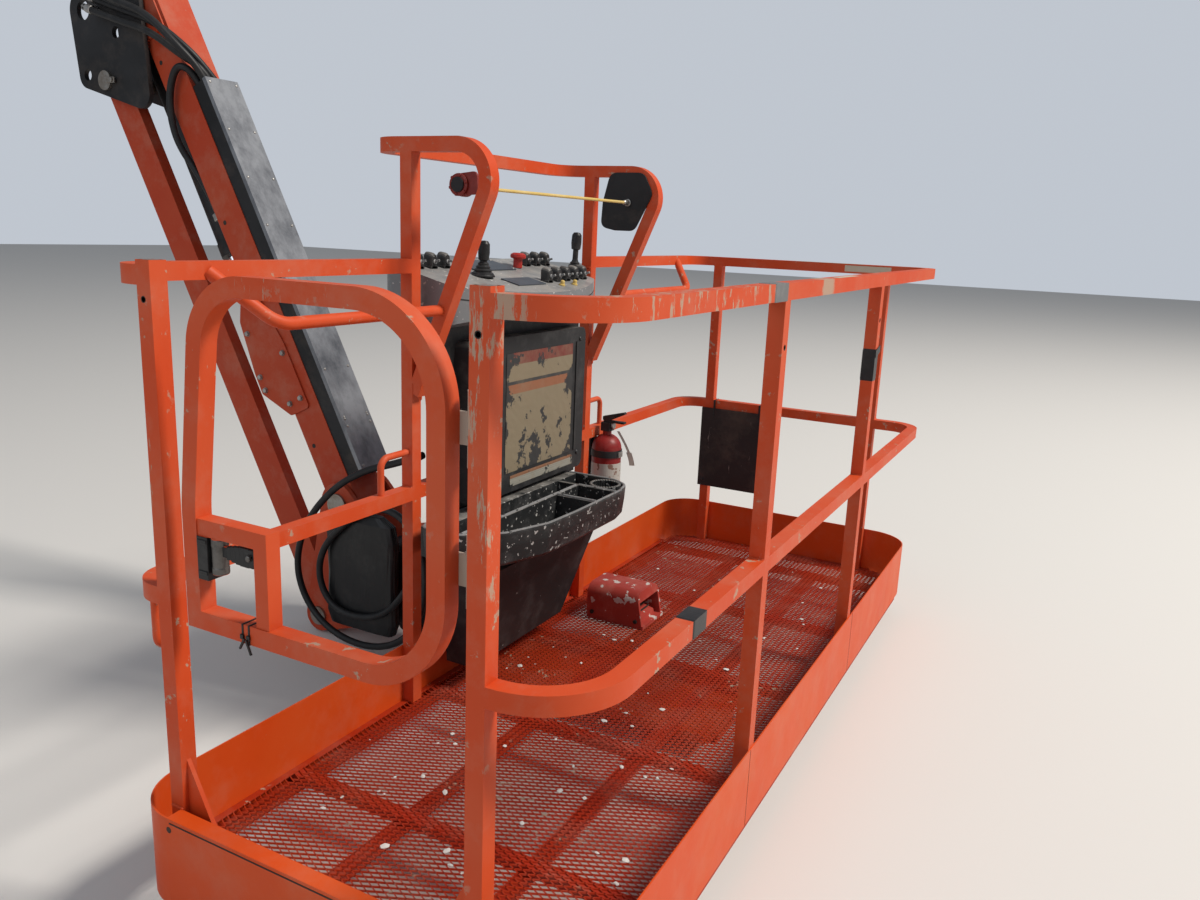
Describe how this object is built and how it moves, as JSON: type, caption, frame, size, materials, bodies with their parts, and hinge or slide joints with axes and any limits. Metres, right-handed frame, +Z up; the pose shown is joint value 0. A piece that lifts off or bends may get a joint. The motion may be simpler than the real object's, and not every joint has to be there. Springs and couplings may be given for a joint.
{
  "type": "boom lift work platform with jib",
  "caption": "Railed work platform with controls, swing gate, rotator and parallel-arm jib, up to the bracket that pins to a boom's nose.",
  "frame": {"origin": "centre of the boom pin bore in the pivot bracket", "axes": "+X from the boom towards the platform, +Y along the platform's long side away from the gate, +Z up"},
  "size_m": [2.5831, 2.474, 2.1498],
  "materials": {
    "orange_paint": "semi-gloss paint, sun-worn",
    "black_paint": "satin",
    "bright_steel": "brushed",
    "chrome_rod": "polished",
    "zinc_cover": "scuffed",
    "grey_plastic": "matte",
    "black_plastic": "matte",
    "black_rubber": "matte",
    "red_paint": "semi-gloss",
    "yellow_sheath": "satin"
  },
  "bodies": {
    "pivot": {"pivot_bracket": "black_paint", "pivot_pins": "bright_steel"},
    "arm": {"jib_arm": "orange_paint", "hose_channel": "black_paint", "hose_cover": "zinc_cover", "arm_hoses": "black_rubber"},
    "link": {"jib_link": "orange_paint"},
    "ram_barrel": {"ram_barrel": "black_paint"},
    "ram_rod": {"ram_rod": "chrome_rod"},
    "head": {"jib_head": "orange_paint", "head_pins": "bright_steel", "rotator_body": "black_paint", "valve_bundle": "black_rubber", "cable_coil": "black_rubber"},
    "platform": {"platform_support": "orange_paint", "deck_beams": "orange_paint", "deck_cross_beams": "orange_paint", "deck_mesh": "orange_paint", "entry_plate": "orange_paint", "toe_board": "orange_paint", "top_rail": "orange_paint", "mid_rail": "orange_paint", "posts": "orange_paint", "guard_near": "orange_paint", "guard_far": "orange_paint", "guard_bar": "orange_paint", "wire_plate": "black_paint", "trip_wire": "yellow_sheath", "handrails": "orange_paint", "console_box": "grey_plastic", "switch_guards": "grey_plastic", "joysticks": "black_plastic", "console_pedestal": "black_plastic", "document_box": "black_plastic", "tool_tray": "black_plastic", "lower_housing": "black_plastic", "foot_switch": "red_paint", "extinguisher": "red_paint", "extinguisher_bracket": "black_paint", "far_panel": "black_plastic", "lanyard_eyes": "orange_paint", "hinge_pins": "bright_steel"},
    "gate": {"gate_frame": "orange_paint", "gate_latch": "orange_paint", "gate_knuckles": "bright_steel"}
  },
  "joints": [
    {"name": "jib_lift", "type": "hinge", "parent": "pivot", "child": "arm", "pos_m": [0.1804, 0, 0.1659], "axis": [0, -1, 0], "range_deg": [-2.7, 117.3]},
    {"name": "link_swing", "type": "hinge", "parent": "pivot", "child": "link", "pos_m": [0.0917, 0, -0.2159], "axis": [0, -1, 0], "range_deg": [-2.7, 117.3]},
    {"name": "head_level", "type": "hinge", "parent": "arm", "child": "head", "pos_m": [1.04036, 0, -1.47208], "axis": [0, -1, 0], "range_deg": [-117.3, 2.7]},
    {"name": "platform_turn", "type": "hinge", "parent": "head", "child": "platform", "pos_m": [1.31006, 0, -1.69508], "axis": [0, 0, 1], "range_deg": [-90, 90]},
    {"name": "gate_swing", "type": "hinge", "parent": "platform", "child": "gate", "pos_m": [2.31256, -1.17, -0.98008], "axis": [0, 0, -1], "range_deg": [0, 95]},
    {"name": "ram_swing", "type": "hinge", "parent": "pivot", "child": "ram_barrel", "pos_m": [0.154, 0.026, -0.074], "axis": [0, -1, 0], "range_deg": [-2.7, 117.3]},
    {"name": "ram_slide", "type": "slide", "parent": "ram_barrel", "child": "ram_rod", "axis": [0.4587, 0, -0.8886], "range_m": [-0.00974, 0.42317]}
  ],
  "couplings": [
    {"joint": "link_swing", "follows": "jib_lift", "ratio": 1},
    {"joint": "head_level", "follows": "jib_lift", "ratio": -1},
    {"joint": "ram_swing", "follows": "jib_lift", "ratio": 1},
    {"joint": "ram_slide", "follows": "jib_lift", "m_per_rad": 0.2067}
  ]
}
